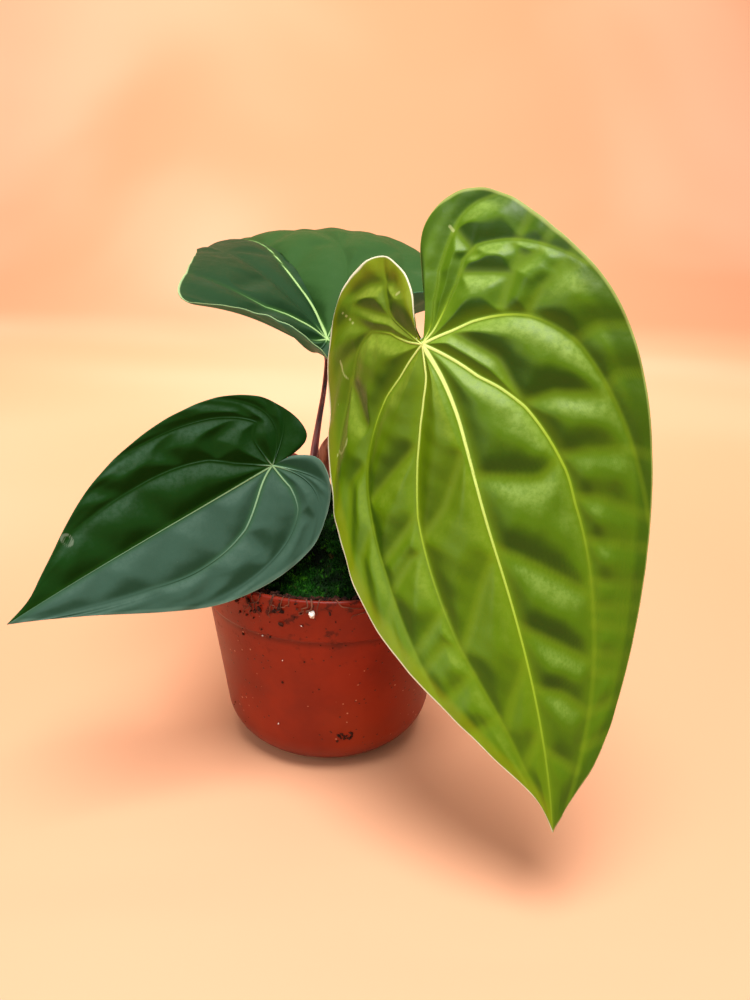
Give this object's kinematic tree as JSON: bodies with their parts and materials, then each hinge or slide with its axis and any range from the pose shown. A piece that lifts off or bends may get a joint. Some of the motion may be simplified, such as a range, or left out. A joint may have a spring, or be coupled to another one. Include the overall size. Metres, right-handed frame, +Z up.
{
  "type": "potted anthurium regale",
  "caption": "Young velvet-leaved aroid in a round plastic nursery pot: heart-shaped veined leaves on slender petioles rising from a short mossy stem.",
  "frame": {"origin": "centre of the pot's flat base, on the surface that the pot stands on", "axes": "+Z up along the pot's axis, -Y towards the viewer whom the open front leaf faces, +X to the right, the small leaf reaches to -X"},
  "size_m": [0.2265, 0.3114, 0.2467],
  "materials": {
    "pot_plastic": "semi-gloss brick-red moulded plastic",
    "potting_mix": "dark crumbly bark and peat mix",
    "moss": "live damp moss",
    "stem": "green-brown stem with leaf scars",
    "bract": "thin reddish-brown papery scale",
    "petiole": "smooth maroon leaf stalk",
    "leaf_young": "satin yellow-green blade with pale raised veins",
    "leaf_dark": "dark velvet green blade with pale veins",
    "leaf_mid": "blue-green velvet blade with pale veins"
  },
  "bodies": {
    "root": {"pot": "pot_plastic", "soil": "potting_mix", "moss": "moss", "stem": "stem", "bract": "bract", "petiole_front": "petiole", "petiole_left": "petiole", "petiole_back": "petiole", "leaf_front": "leaf_young", "leaf_left": "leaf_dark", "leaf_back": "leaf_mid"}
  },
  "joints": []
}
